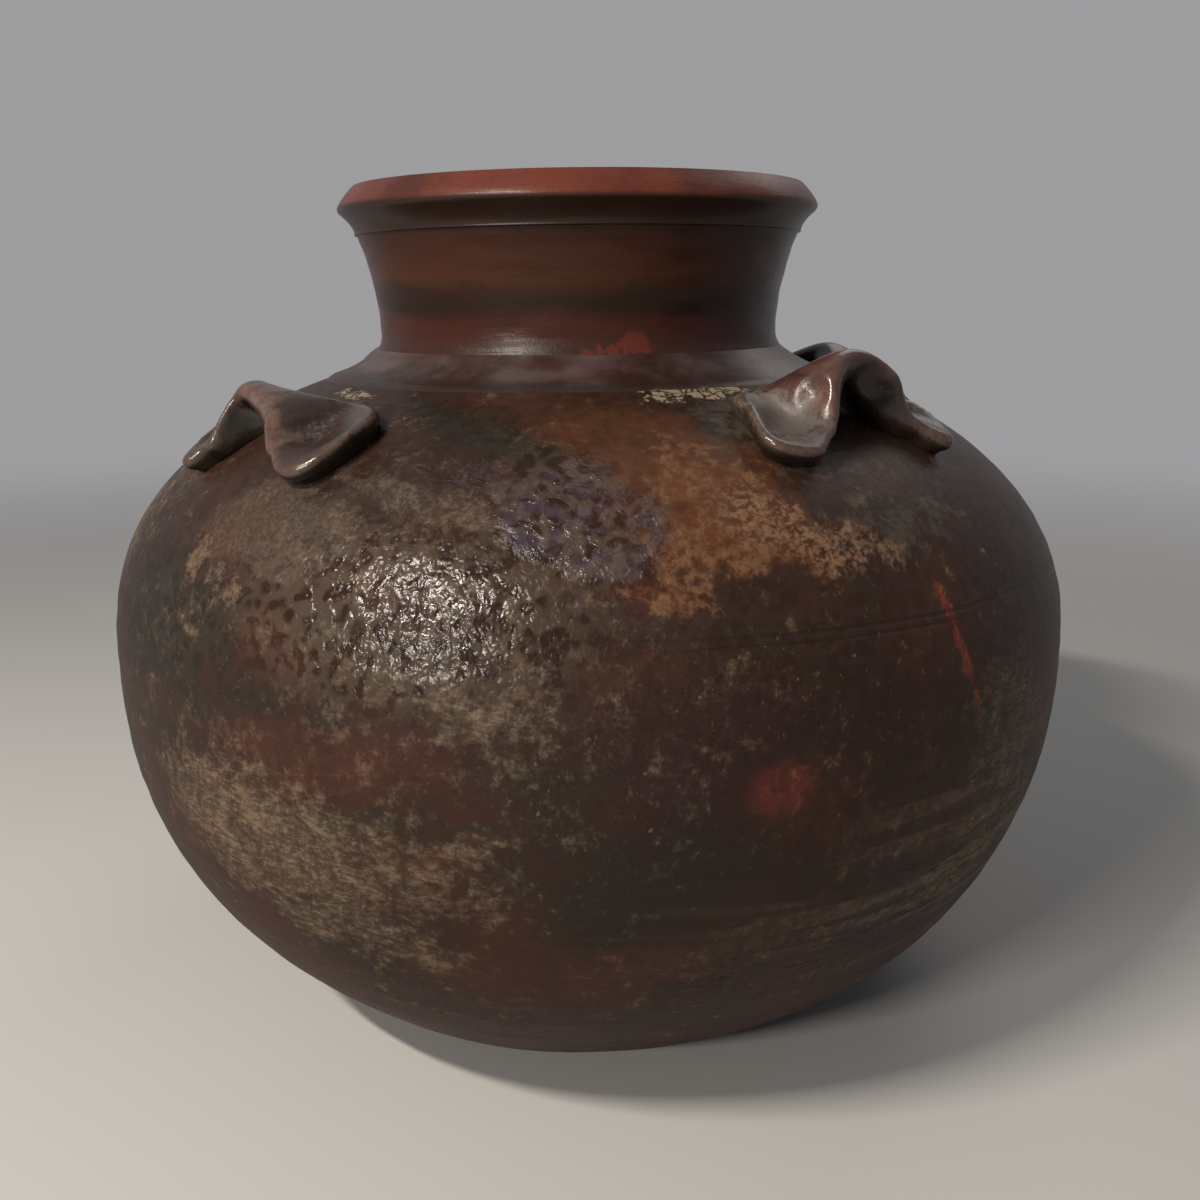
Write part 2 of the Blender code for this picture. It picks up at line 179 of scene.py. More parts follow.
def throw(name, profile, closed=True):
    """Draws a ring up through a profile of (radius, height) points. The profile closes on itself, or
    its two ends are filled where they lie near the axis."""
    bpy.ops.object.select_all(action="DESELECT")
    radius, height = profile[0]
    bpy.ops.mesh.primitive_circle_add(vertices=turn_sides, radius=radius, location=(0, 0, 0))
    piece = bpy.context.object
    piece.name = name
    bpy.ops.object.mode_set(mode="EDIT")
    bpy.ops.mesh.select_all(action="SELECT")
    bpy.ops.transform.translate(value=(0, 0, height))
    for next_radius, next_height in profile[1:]:
        bpy.ops.mesh.extrude_region_move(TRANSFORM_OT_translate={"value": (0, 0, next_height - height)})
        share = next_radius / radius
        bpy.ops.transform.resize(value=(share, share, 1), center_override=(0, 0, next_height))
        radius, height = next_radius, next_height
    bpy.ops.mesh.select_all(action="DESELECT")
    bpy.ops.mesh.select_mode(type="EDGE")
    bpy.ops.mesh.select_non_manifold()
    if closed:
        bpy.ops.mesh.bridge_edge_loops()
    else:
        bpy.ops.mesh.fill_holes(sides=0)
    bpy.ops.mesh.select_all(action="SELECT")
    bpy.ops.mesh.normals_make_consistent(inside=False)
    bpy.ops.object.mode_set(mode="OBJECT")
    bpy.ops.object.shade_smooth_by_angle(angle=crease_angle)
    mark_inside(piece)
    return piece


def mark(piece, name, values):
    """Writes a number to each point of a piece, for its material to read."""
    attribute = piece.data.attributes.new(name, "FLOAT", "POINT")
    attribute.data.foreach_set("value", np.asarray(values, np.float32))


# A point looks into the jar if its radius times its normal's outward part is less than the first
# number, or, on the base, if its normal's upward part is more than the second.
looks_inward = -0.004
looks_upward = 0.5


def mark_inside(piece):
    """1 at the points that look into the jar, 0 at those that look out of it."""
    values = []
    for vertex in piece.data.vertices:
        out = vertex.co.x * vertex.normal.x + vertex.co.y * vertex.normal.y
        base_floor = piece.name == "dressed_base" and vertex.normal.z > looks_upward
        looks_in = out < looks_inward or base_floor
        values.append(1.0 if looks_in else 0.0)
    mark(piece, "inside", values)


def set_on_neck(piece):
    """Moves a piece turned on its own axis to the neck's place, a little aside and leaning."""
    select_only(piece)
    bpy.ops.transform.translate(value=(neck_shift * neck_way[0], neck_shift * neck_way[1], seat_height))
    piece.rotation_euler = (-neck_lean * neck_way[1], neck_lean * neck_way[0], 0)
    bpy.ops.object.transform_apply(location=True, rotation=True, scale=True)


# The hand's unevenness: how far the clay stands off a true turned form, in metres, and the size of the
# swells. The ripples lie flat, and are drawn from another part of the noise. Near the axis the clay is
# left as it is.
hand_swell = 0.0011
hand_swell_size = 0.075
hand_ripple = 0.0003
hand_ripple_size = 0.018
hand_ripple_flatness = 3
hand_ripple_shift = Vector((7, 3, 11))
unworked_radius = 0.03


def unevenness(place):
    """How far the wall swells at a place. It is the same for pieces that meet there."""
    slow = noise.noise(place / hand_swell_size)
    flat = Vector((place.x, place.y, place.z * hand_ripple_flatness))
    quick = noise.noise(flat / hand_ripple_size + hand_ripple_shift)
    return hand_swell * slow + hand_ripple * quick


def work_by_hand(piece):
    """Moves each point of a piece in or out by the hand's unevenness."""
    for vertex in piece.data.vertices:
        out = Vector((vertex.co.x, vertex.co.y, 0))
        if out.length > unworked_radius:
            vertex.co += out.normalized() * unevenness(vertex.co)
    piece.data.update()


def body_pieces():
    """The shoulder, the lower wall and the base, which meet at the belly's joint and at the upturn."""
    throat = math.acos((throat_radius + throat_clearance) / belly_radius)
    joint = turn_at_height(belly_height + belly_joint_rise)
    low = turn_at_height(base_upturn)
    outer, inner = wall_lines(throat, joint, shoulder_rings)
    shoulder = throw("dressed_shoulder", [*outer, *inner[::-1]])
    outer, inner = wall_lines(joint, low, lower_wall_rings)
    lower = throw("dressed_lower_wall", [*outer, *inner[::-1]])
    outer, inner = wall_lines(low, turn_at_height(base_rounding), base_rings)
    underside = [(axis_ring_radius, 0), (base_radius - base_rounding, 0)]
    floor = [(base_floor_radius, base_thickness), (axis_ring_radius, base_thickness)]
    profile = [*underside, *outer[::-1], *inner[:base_inner_rings], *floor]
    base = throw("dressed_base", profile, closed=False)
    return {"shoulder": shoulder, "lower_wall": lower, "base": base}


def collar_piece():
    """The roll smoothed round the neck's foot, thick at the neck, with a soft outer edge."""
    top = []
    for step in range(collar_rings + 1):
        share = 1 - step / collar_rings
        radius = collar_radius + (neck_foot_radius - collar_radius) * share
        thickness = collar_edge + (collar_height - collar_edge) * share**collar_sweep
        top.append((radius, shoulder_height_at(radius) - seat_height + thickness))
    edge = top[-1]
    toe_radius = collar_radius + collar_toe_reach
    toe = (toe_radius, shoulder_height_at(toe_radius) - seat_height - collar_toe_sink)
    rounded = curve_through([edge, *points_from((collar_radius, edge[1]), collar_rounding), toe], 8)
    tuck = (collar_radius - collar_tuck_in, toe[1] - collar_tuck_down)
    foot = (neck_foot_radius, -collar_foot_sink)
    return throw("dressed_collar", [*top, *rounded[1:], tuck, foot])


# Rings that the fingers left round the neck: how high each lies, as a share of the neck's height, how
# far it stands out, and its half width as a share.
neck_rings = (
    (0.66, 0.00012, 0.14),
    (0.45, -0.00008, 0.09),
    (0.3, 0.0001, 0.1),
)


def neck_piece():
    """The flared neck, with the soft rings that fingers leave as the wheel turns."""
    collar_top = seat_depth + collar_height
    waist = collar_top + neck_waist_rise
    top = seat_depth + neck_height
    outer = []
    for t in np.linspace(1, 0, neck_rings_up):
        radius = neck_waist_radius + (neck_top_radius - neck_waist_radius) * t**neck_flare
        for place, depth, width in neck_rings:
            radius += depth * math.exp(-(((t - place) / width) ** 2))
        outer.append((radius, waist + (top - waist) * t))
    for t in np.linspace(0, 1, neck_rings_foot)[1:]:
        radius = neck_waist_radius + (neck_foot_radius - neck_waist_radius) * t**2
        outer.append((radius, waist - neck_waist_rise * t))
    outer.append((neck_foot_radius, 0))
    inner = [(radius - neck_wall, height) for radius, height in outer[::-1]]
    return throw("dressed_neck", [*outer, *inner])


def lip_piece():
    """The lip: a ledge over the neck, a flare, a bevelled face up to a worn crest, and a round inside."""
    joint = seat_depth + neck_height
    inside = neck_top_radius - neck_wall
    top = joint + lip_height
    crest = (lip_crest_radius, top)
    edge = (lip_radius, joint + lip_edge_rise)
    ledge = (neck_top_radius + lip_ledge, joint)
    bevel = curve_through([crest, *points_from(edge, lip_bevel)], 14)
    rim = curve_through([bevel[-1], *points_from(edge, lip_rim)], 5)
    flare = curve_through([rim[-1], *points_from(ledge, lip_flare)], 12)
    step = curve_through([flare[-1], *points_from(ledge, lip_step)], 5)
    hollow = curve_through([(inside, joint), *points_from((inside, top), lip_hollow), crest], 16)
    return throw("dressed_lip", [*bevel, *rim[1:], *flare[1:], *step[1:], *hollow[:-1]])


# Handles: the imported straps, drawn finely, smoothed by wet fingers and pressed into the shoulder.
# Their pads and straps swell by different amounts, in metres, and the change is over at the strap's rise.
weld_distance = 0.00001
handle_voxel = 0.0009
handle_smoothings = 14
smoothing_share = 0.6
pad_swell = 0.0011
strap_swell = 0.0007
strap_rise = 0.011
press_depth = 0.0012
press_reach = 0.003
fingertip_faces_up = 0.2

# Wear, painted highlight and painted shade: how many rounds of smoothing give the form that a point's wear
# and its hollow are taken from, and how far a point stands out of it or lies in it, in metres, when its
# mark is 1.
# A point is fully under, and painted darkest, where its normal's downward part is 1 / under_gain, and fully
# risen at full_rise over the shoulder.
wear_spread = 18
wear_height = 0.0006
hollow_spread = 90
hollow_depth = 0.0007
under_gain = 1.5
full_rise = 0.03

# Where a finger pushed soft clay aside: the handle, the turn in degrees, the radius and the height of the
# place, how far round it the clay gives, and how far it goes round the jar, outward and up.
pushes = (
    ("handle_front_left", -95.0, 0.156, 0.248, 0.014, -0.004, -0.003, 0.004),
    ("handle_front_right", 7.0, 0.151, 0.254, 0.017, 0.0, -0.007, 0.003),
    ("handle_front_right", 3.0, 0.149, 0.266, 0.013, 0.0, -0.004, 0.0015),
    ("handle_front_right", -8.5, 0.153, 0.2505, 0.0075, 0.0, 0.0016, 0.0),
    ("handle_front_right", -15.0, 0.15, 0.252, 0.018, -0.007, 0.003, -0.0022),
)

# Dents of a fingertip: the handle, the turn in degrees, the radius and the height of the place, the
# dent's radius and its depth.
fingertips = (
    ("handle_front_right", -8.2, 0.143, 0.265, 0.008, 0.003),
    ("handle_front_right", -12.0, 0.143, 0.258, 0.012, 0.0018),
    ("handle_front_left", -79.0, 0.15, 0.252, 0.011, 0.0014),
)


def ways_at(turn):
    """The ways outward and round the jar at a turn."""
    return Vector((math.cos(turn), math.sin(turn), 0)), Vector((-math.sin(turn), math.cos(turn), 0))


def place_at(turn, radius, height):
    """The place at a turn in degrees, a radius and a height."""
    return ways_at(math.radians(turn))[0] * radius + Vector((0, 0, height))


def merged_copy(name):
    """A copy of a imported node, with its loose triangles joined."""
    piece = bpy.data.objects.new("dressed_" + name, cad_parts[name].data.copy())
    bpy.context.scene.collection.objects.link(piece)
    select_only(piece)
    piece.data.materials.clear()
    bpy.ops.object.mode_set(mode="EDIT")
    bpy.ops.mesh.select_all(action="SELECT")
    bpy.ops.mesh.remove_doubles(threshold=weld_distance)
    bpy.ops.mesh.normals_make_consistent(inside=False)
    bpy.ops.object.mode_set(mode="OBJECT")
    return piece


def handle_piece(name):
    """A strap handle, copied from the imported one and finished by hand."""
    piece = merged_copy(name)
    knead(piece)
    swell(piece)
    for owner, turn, radius, height, size, *steps in pushes:
        if owner == name:
            push_clay(piece, turn, place_at(turn, radius, height), size, steps)
    piece.data.update()
    knead(piece)
    for owner, turn, radius, height, size, depth in fingertips:
        if owner == name:
            press_fingertip(piece, place_at(turn, radius, height), size, depth)
    press_on_shoulder(piece)
    bpy.ops.object.shade_smooth()
    mark_wear_and_painted_light(piece)
    return piece


def knead(piece):
    """Makes one closed skin of a piece, and rounds it as wet fingers do."""
    remesh = piece.modifiers.new("Clay", "REMESH")
    remesh.mode = "VOXEL"
    remesh.voxel_size = handle_voxel
    bpy.ops.object.modifier_apply(modifier=remesh.name)
    smooth = piece.modifiers.new("Wet fingers", "SMOOTH")
    smooth.factor = smoothing_share
    smooth.iterations = handle_smoothings
    bpy.ops.object.modifier_apply(modifier=smooth.name)


def swell(piece):
    """Thickens a handle, its pads by one amount and its strap by another."""
    normals = [vertex.normal.copy() for vertex in piece.data.vertices]
    for vertex, normal in zip(piece.data.vertices, normals):
        share = min(max(rise_over_shoulder(vertex.co) / strap_rise, 0), 1)
        vertex.co += normal * (pad_swell + (strap_swell - pad_swell) * share)


def push_clay(piece, turn, centre, size, steps):
    """Moves the clay round a centre by steps round the jar, outward and upward."""
    sideways, outward, upward = steps
    out, round_jar = ways_at(math.radians(turn))
    way = round_jar * sideways + out * outward + Vector((0, 0, upward))
    for vertex in piece.data.vertices:
        share = (vertex.co - centre).length / size
        if share < 1:
            vertex.co += way * (1 - share * share) ** 2


def press_fingertip(piece, centre, size, depth):
    """Dents the faces that look up, round a centre."""
    normals = [vertex.normal.copy() for vertex in piece.data.vertices]
    for vertex, normal in zip(piece.data.vertices, normals):
        share = (vertex.co - centre).length / size
        if share < 1 and normal.z > fingertip_faces_up:
            vertex.co -= normal * depth * (1 - share * share) ** 2
    piece.data.update()


def press_on_shoulder(piece):
    """Sinks a handle's lowest clay into the shoulder."""
    for vertex in piece.data.vertices:
        rise = rise_over_shoulder(vertex.co)
        if rise < press_reach:
            vertex.co.z -= press_depth * min(1 - rise / press_reach, 1)
    piece.data.update()


def rise_over_shoulder(place):
    return place.z - shoulder_height_at(min(math.hypot(place.x, place.y), belly_radius))


def mark_wear_and_painted_light(piece):
    """Marks the points of a handle: worn on its edges, where it stands out of its own smoothed form, which
    the glaze lightens as wear and painted highlight; hollow where it lies in that; under where it looks
    down, which the glaze paints dark as shade; and its rise over the shoulder."""
    mesh = piece.data
    count = len(mesh.vertices)
    points = np.empty(count * 3, np.float64)
    mesh.vertices.foreach_get("co", points)
    points = points.reshape(-1, 3)
    normals = np.array([vertex.normal for vertex in mesh.vertices])
    ends = np.empty(len(mesh.edges) * 2, np.int64)
    mesh.edges.foreach_get("vertices", ends)
    first, second = ends.reshape(-1, 2).T
    neighbours = np.bincount(first, minlength=count) + np.bincount(second, minlength=count)
    soft = points.copy()
    stands_out = {}
    for step in range(1, hollow_spread + 1):
        total = np.zeros_like(soft)
        for axis in range(3):
            total[:, axis] = np.bincount(first, soft[second, axis], count)
            total[:, axis] += np.bincount(second, soft[first, axis], count)
        soft = soft / 2 + total / neighbours[:, None] / 2
        if step in (wear_spread, hollow_spread):
            stands_out[step] = ((points - soft) * normals).sum(1)
    rises = [rise_over_shoulder(vertex.co) / full_rise for vertex in mesh.vertices]
    # Wear and painted highlight: the glaze lightens the points marked worn.
    mark(piece, "worn", np.clip(stands_out[wear_spread] / wear_height, 0, 1))
    # Painted shade: the glaze darkens the points marked under.
    mark(piece, "under", np.clip(-normals[:, 2] * under_gain, 0, 1))
    mark(piece, "hollow", np.clip(-stands_out[hollow_spread] / hollow_depth, 0, 1))
    mark(piece, "rise", np.clip(rises, 0, 1))


# How far a patch of glaze reaches through the wall, as a multiple of its half width.
patch_reach = 3


# Materials: sockets that can be added and multiplied, and one way to make any node.
class Wire:
    """A socket that a material's node puts out. Sums and products of wires are Math nodes."""

    def __init__(self, glaze, socket):
        self.glaze = glaze
        self.socket = socket

    def calc(self, operation, first, second):
        return self.glaze.node("ShaderNodeMath", {"operation": operation}, {0: first, 1: second})

    def __add__(self, other):
        return self.calc("ADD", self, other)

    def __sub__(self, other):
        return self.calc("SUBTRACT", self, other)

    def __rsub__(self, other):
        return self.calc("SUBTRACT", other, self)

    def __mul__(self, other):
        return self.calc("MULTIPLY", self, other)

    def __or__(self, other):
        return self.calc("MAXIMUM", self, other)

    __radd__ = __add__
    __rmul__ = __mul__
    __ror__ = __or__


class Glaze:
    """A material whose colour, gloss and relief are worked out from places on the jar."""

    def __init__(self, name):
        self.material = bpy.data.materials.new(name)
        self.material.use_nodes = True
        self.tree = self.material.node_tree
        self.shader = self.tree.nodes["Principled BSDF"]
        self.place = self.node("ShaderNodeTexCoord", output="Object")
        self.color = None

    def plug(self, value, socket):
        if isinstance(value, Wire):
            self.tree.links.new(value.socket, socket)
        else:
            socket.default_value = value

    def node(self, kind, settings=None, sockets=None, output=0):
        """Adds a node, with its settings first and then the values or wires of its sockets."""
        node = self.tree.nodes.new(kind)
        for key, value in (settings or {}).items():
            if key == "stops":
                ramp = node.color_ramp
                while len(ramp.elements) < len(value):
                    ramp.elements.new(0.5)
                for element, (position, color) in zip(ramp.elements, value):
                    element.position = position
                    element.color = (*color, 1)
            else:
                setattr(node, key, value)
        for key, value in (sockets or {}).items():
            self.plug(value, node.inputs[key])
        return Wire(self, node.outputs[output])

    def vector(self, operation, first, second, output="Vector"):
        return self.node("ShaderNodeVectorMath", {"operation": operation}, {0: first, 1: second}, output)

    def noise(self, place, size, detail=3, roughness=0.55, distortion=0.0, output="Fac"):
        """Cloudy values about 0.5, with swells of a size in metres."""
        sockets = {"Vector": place, "Scale": 1 / size, "Detail": detail}
        sockets.update({"Roughness": roughness, "Distortion": distortion})
        return self.node("ShaderNodeTexNoise", None, sockets, output)

    def cells(self, place, size, feature):
        """Distances within cells of a size in metres."""
        sockets = {"Vector": place, "Scale": 1 / size}
        return self.node("ShaderNodeTexVoronoi", {"feature": feature}, sockets, "Distance")

    def fade(self, value, low, high):
        """0 below low, 1 above high, and smooth between. High may be the smaller."""
        sockets = {"Value": value, "From Min": low, "From Max": high}
        return self.node("ShaderNodeMapRange", {"interpolation_type": "SMOOTHSTEP"}, sockets)

    def mix(self, share, first, second):
        """The first colour where the share is 0, and the second where it is 1."""
        node = self.tree.nodes.new("ShaderNodeMix")
        node.data_type = "RGBA"
        self.plug(share, node.inputs["Factor"])
        for value, socket in ((first, node.inputs[6]), (second, node.inputs[7])):
            self.plug(value if isinstance(value, Wire) else (*value, 1), socket)
        return Wire(self, node.outputs[2])

    def height(self):
        return self.node("ShaderNodeSeparateXYZ", None, {0: self.place}, "Z")

    def read(self, name):
        """A number that was marked on the piece's points."""
        return self.node("ShaderNodeAttribute", {"attribute_name": name}, None, "Fac")

    def squash(self, around, upward):
        """The place with its sizes divided, so that a noise draws out round the jar or up it."""
        return self.vector("MULTIPLY", self.place, (around, around, upward))

    def warped(self, size, amount, detail=3):
        """The place on the jar, pushed about by a noise, which makes ragged edges."""
        push = self.noise(self.place, size, detail, output="Color")
        push = self.vector("SUBTRACT", push, (0.5, 0.5, 0.5))
        return self.vector("ADD", self.place, self.vector("MULTIPLY", push, (amount * 2,) * 3))

    def patches(self, rows, place=None):
        """1 in the middle of oval patches of the surface, and 0 where they end. Each is given by its
        turn round the jar in degrees, the radius and height of its middle, its half width and half
        height, the share of it that fades out, its tilt in degrees and its strength."""
        total = 0
        for turn, radius, height, wide, tall, edge, tilt, strength in rows:
            lean = math.radians(tilt)
            out, round_jar = ways_at(math.radians(turn))
            up = Vector((0, 0, 1))
            across = round_jar * math.cos(lean) + up * math.sin(lean)
            upward = up * math.cos(lean) - round_jar * math.sin(lean)
            offset = self.vector("SUBTRACT", place or self.place, tuple(out * radius + up * height))
            first = self.vector("DOT_PRODUCT", offset, tuple(across / wide), "Value")
            second = self.vector("DOT_PRODUCT", offset, tuple(upward / tall), "Value")
            third = self.vector("DOT_PRODUCT", offset, tuple(out / (patch_reach * wide)), "Value")
            square = first * first + second * second + third * third
            total = self.fade(square, 1 + edge, 1 - edge) * strength | total
        return total

    def lay(self, share, color):
        """Lays a colour over those below it, as thickly as the share says."""
        self.color = self.mix(share, self.color, color)

    def finish(self, roughness, relief=None, gloss=0.5):
        """Gives the shader its colour, roughness, relief in metres and one gloss, and the material back."""
        self.plug(self.color, self.shader.inputs["Base Color"])
        self.plug(roughness, self.shader.inputs["Roughness"])
        self.shader.inputs["Specular IOR Level"].default_value = gloss
        if relief is not None:
            sockets = {"Height": relief, "Strength": 1, "Distance": 1}
            self.plug(self.node("ShaderNodeBump", None, sockets, "Normal"), self.shader.inputs["Normal"])
        return self.material


# Fired colours.
iron_brown = (0.025, 0.011, 0.007)
red_brown = (0.052, 0.016, 0.009)
plum_brown = (0.025, 0.01, 0.009)
soot_green = (0.015, 0.012, 0.008)
near_black = (0.01, 0.007, 0.005)
ochre = (0.18, 0.084, 0.038)
burnt_orange = (0.11, 0.037, 0.013)
cream = (0.36, 0.29, 0.19)
tan = (0.27, 0.16, 0.098)
khaki = (0.15, 0.096, 0.054)
ash_grey = (0.16, 0.122, 0.088)
olive = (0.085, 0.062, 0.038)
stone_grey = (0.11, 0.095, 0.07)
lilac = (0.08, 0.05, 0.066)
blue_grey = (0.05, 0.048, 0.074)
brick = (0.135, 0.032, 0.018)
dull_brick = (0.07, 0.019, 0.012)
signal_red = (0.2, 0.034, 0.022)
orange_core = (0.34, 0.08, 0.02)
collar_grey = (0.09, 0.06, 0.055)
bare_clay = (0.15, 0.062, 0.034)
inner_brown = (0.04, 0.02, 0.013)
scorched_orange = (0.065, 0.026, 0.012)
strap_umber = (0.02, 0.011, 0.008)
strap_brown = (0.036, 0.016, 0.012)
strap_red = (0.09, 0.03, 0.024)
strap_soot_and_shade = (0.02, 0.02, 0.014)
strap_dust = (0.17, 0.145, 0.122)
worn_edge_and_highlight = (0.19, 0.118, 0.09)

# Where the firing left its colours, in the order that Glaze.patches reads.
ochre_glow_places = (
    (-28, 0.158, 0.239, 0.042, 0.019, 0.9, -22, 1.0),
    (-37, 0.134, 0.2535, 0.03, 0.007, 0.9, -8, 0.9),
    (145, 0.16, 0.236, 0.06, 0.022, 0.9, 15, 1.0),
)
ochre_places = (
    (-24, 0.165, 0.2325, 0.026, 0.014, 0.9, -26, 1.05),
    (-18, 0.177, 0.2215, 0.026, 0.008, 0.9, -12, 1.0),
    (-28, 0.175, 0.2235, 0.024, 0.01, 0.9, -6, 0.9),
    (-33, 0.186, 0.211, 0.018, 0.005, 0.9, 0, 0.7),
    (-12, 0.176, 0.2225, 0.016, 0.004, 0.9, -22, 0.9),
    (140, 0.165, 0.232, 0.05, 0.017, 0.9, 15, 1.0),
    (162, 0.185, 0.21, 0.022, 0.01, 0.9, 0, 0.8),
)
green_black_places = (
    (-57, 0.134, 0.2532, 0.036, 0.006, 0.8, -12, 1.0),
    (-18, 0.128, 0.2555, 0.022, 0.005, 0.9, -10, 0.8),
    (-57, 0.198, 0.138, 0.048, 0.006, 0.9, 0, 0.7),
    (-88, 0.193, 0.19, 0.04, 0.022, 0.9, 0, 1.2),
    (-78, 0.198, 0.173, 0.032, 0.012, 0.9, 0, 0.9),
    (-36, 0.197, 0.122, 0.048, 0.026, 0.9, 0, 0.8),
    (-42, 0.199, 0.151, 0.024, 0.012, 0.9, 0, 0.6),
    (55, 0.19, 0.2, 0.07, 0.028, 0.9, 0, 0.9),
    (95, 0.196, 0.125, 0.06, 0.03, 0.9, 0, 0.8),
    (-150, 0.197, 0.18, 0.06, 0.03, 0.9, 0, 0.8),
    (200, 0.19, 0.1, 0.06, 0.026, 0.9, 0, 0.9),
)
violet_places = (
    (-41, 0.17, 0.23, 0.026, 0.015, 0.7, -15, 1.0),
    (-50, 0.158, 0.2395, 0.024, 0.005, 0.9, -5, 0.6),
)
khaki_places = (
    (-72, 0.196, 0.122, 0.055, 0.027, 0.9, -8, 1.0),
    (-54, 0.197, 0.12, 0.026, 0.018, 0.9, 0, 0.5),
    (-68, 0.19, 0.098, 0.045, 0.015, 0.9, -10, 0.8),
    (-49, 0.198, 0.175, 0.028, 0.008, 0.9, 0, 0.85),
    (8, 0.198, 0.15, 0.024, 0.03, 0.9, 14, 0.85),
    (8, 0.19, 0.108, 0.04, 0.018, 0.9, 14, 0.95),
    (30, 0.197, 0.15, 0.05, 0.03, 0.9, 0, 0.6),
    (120, 0.195, 0.115, 0.08, 0.03, 0.9, 0, 0.8),
    (-120, 0.19, 0.2, 0.06, 0.026, 0.9, 20, 0.8),
    (180, 0.196, 0.18, 0.05, 0.02, 0.9, 0, 0.7),
)
stone_places = (
    (-11, 0.15, 0.244, 0.05, 0.005, 0.9, -5, 0.45),
    (-6, 0.178, 0.224, 0.04, 0.01, 0.9, 0, 0.65),
    (-14, 0.131, 0.256, 0.02, 0.006, 0.9, 0, 0.8),
    (-88, 0.133, 0.252, 0.03, 0.006, 0.9, 0, 0.7),
)
taupe_places = (
    (-76, 0.178, 0.223, 0.036, 0.014, 0.9, 0, 0.9),
    (-60, 0.165, 0.235, 0.04, 0.005, 0.9, -8, 0.6),
)
plum_places = (
    (-28, 0.199, 0.16, 0.05, 0.026, 0.9, 0, 0.9),
    (70, 0.198, 0.15, 0.06, 0.04, 0.9, 0, 0.9),
)
reddish_places = (
    (-66, 0.199, 0.156, 0.04, 0.011, 0.9, 0, 0.9),
    (-40, 0.186, 0.085, 0.05, 0.02, 0.9, 0, 0.7),
    (-15, 0.199, 0.14, 0.05, 0.026, 0.9, 0, 0.6),
    (-150, 0.19, 0.1, 0.06, 0.03, 0.9, 0, 0.9),
)
crust_places = (
    (-21, 0.108, 0.2633, 0.017, 0.0022, 0.8, 0, 1.0),
    (-11, 0.108, 0.2633, 0.011, 0.0015, 0.8, 0, 0.9),
    (-90, 0.116, 0.2606, 0.016, 0.002, 0.9, 0, 0.75),
    (150, 0.118, 0.26, 0.028, 0.0024, 0.9, 0, 0.9),
)
dab_places = (
    (-85.6, 0.186, 0.21, 0.005, 0.0085, 0.9, 0, 1.0),
    (-81.5, 0.1885, 0.2065, 0.005, 0.005, 0.9, 0, 0.7),
    (-78.0, 0.1905, 0.203, 0.0055, 0.0055, 0.9, 0, 0.9),
)
red_spot_places = ((-22.8, 0.1998, 0.15, 0.011, 0.0085, 0.8, 0, 1.0),)
red_streak_places = (
    (-2.9, 0.1915, 0.199, 0.0026, 0.01, 0.8, 14, 0.9),
    (-1.5, 0.1965, 0.1835, 0.0024, 0.0125, 0.8, 18, 1.0),
    (0.3, 0.199, 0.168, 0.0017, 0.007, 0.8, 20, 0.6),
)
glossy_places = (
    (-58, 0.19, 0.202, 0.06, 0.026, 0.8, 0, 1.0),
    (-41, 0.17, 0.23, 0.03, 0.018, 0.8, -15, 1.0),
    (-84, 0.192, 0.195, 0.03, 0.02, 0.8, 0, 0.25),
    (100, 0.185, 0.21, 0.08, 0.026, 0.9, 0, 0.7),
)
dust_and_sheen_places = (
    (-57, 0.19, 0.2, 0.06, 0.045, 0.9, 0, 1.0),
    (120, 0.192, 0.175, 0.15, 0.075, 0.9, 0, 0.7),
)
paler_places = ((-14, 0.175, 0.224, 0.036, 0.012, 0.9, -16, 1.0),)
fleck_places = (
    (-22, 0.197, 0.186, 0.055, 0.019, 0.8, 0, 1.0),
    (-40, 0.199, 0.15, 0.04, 0.022, 0.9, 0, 0.8),
)
chip_places = (
    (-8, 0.188, 0.093, 0.08, 0.02, 0.7, 12, 1.0),
    (150, 0.19, 0.095, 0.09, 0.022, 0.8, 0, 1.0),
)
trimmed_places = (
    (4, 0.188, 0.105, 0.07, 0.036, 0.9, 0, 1.0),
    (170, 0.19, 0.1, 0.12, 0.035, 0.9, 0, 1.0),
)

# Lines scored round the belly with a point: the height, half the width, and where it was pressed in.
scored_lines = (
    (0.1972, 0.0006, (14, 0.15, 0.197, 0.15, 0.05, 0.6, 0, 1.0)),
    (0.1944, 0.0005, (-16, 0.195, 0.195, 0.05, 0.03, 0.8, 0, 1.0)),
)
scored_waver = 0.0022

# How deep each mark of the body's glaze is, in metres. The first three are those of the glossy places.
pit_depth = 0.0002
lump_depth = 0.0011
pinhole_depth = 0.00022
fine_depth = 0.00016
grit_depth = 0.00006
ring_depth = 0.0001
matte_ring_depth = 0.0003
trimming_depth = 0.001
wrinkle_depth = 0.001
crust_height = 0.00035
scoring_depth = 0.00035
chip_depth = 0.0004


